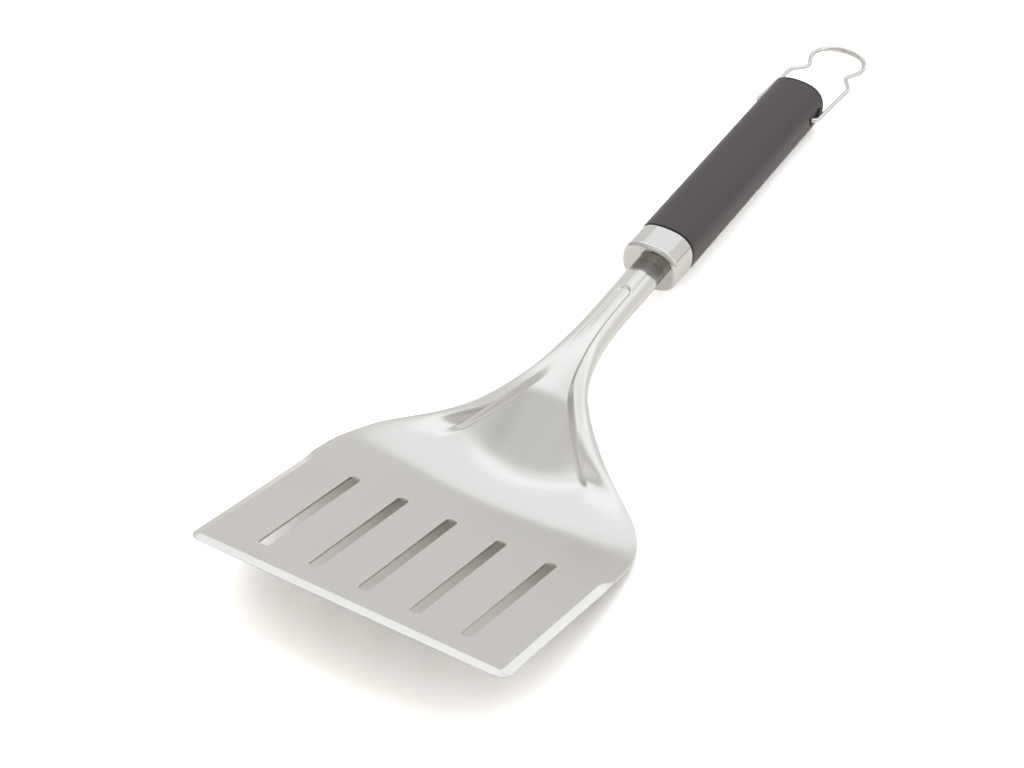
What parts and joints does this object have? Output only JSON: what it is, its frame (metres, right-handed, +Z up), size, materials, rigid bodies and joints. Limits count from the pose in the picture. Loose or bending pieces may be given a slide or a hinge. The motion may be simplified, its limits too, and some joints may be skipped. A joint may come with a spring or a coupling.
{
  "type": "grill spatula",
  "caption": "Grill spatula with a slotted, bevelled steel blade, a channelled neck, a polished ferrule, a soft oval grip and a wire hanging loop that swings.",
  "frame": {"origin": "centre of the bounding box's base, on the surface the tool lies on", "axes": "+X across the blade to the right, +Y from the blade's front edge to the hanging loop, +Z up from the surface"},
  "size_m": [0.152, 0.4654, 0.0426],
  "materials": {
    "blade_steel": "satin stainless sheet, fine grain along the blade, ground bevels",
    "tang_steel": "dull grey steel",
    "ferrule_polish": "mirror polished",
    "core_nylon": "moulded black nylon",
    "grip_soft": "soft-touch charcoal, fine matt grain",
    "cap_plastic": "matt charcoal, matches the grip",
    "pin_steel": "plain turned steel",
    "loop_wire": "bright drawn wire"
  },
  "bodies": {
    "tool": {"blade": "blade_steel", "tang": "tang_steel", "ferrule": "ferrule_polish", "handle_core": "core_nylon", "grip": "grip_soft", "end_cap": "cap_plastic", "tang_pin_front": "pin_steel", "tang_pin_rear": "pin_steel"},
    "loop": {"hanging_loop": "loop_wire"}
  },
  "joints": [
    {"name": "loop_swing", "type": "hinge", "parent": "tool", "child": "loop", "pos_m": [0, 0.16151, 0.01388], "axis": [1, 0, 0], "range_deg": [-150, 165]}
  ]
}
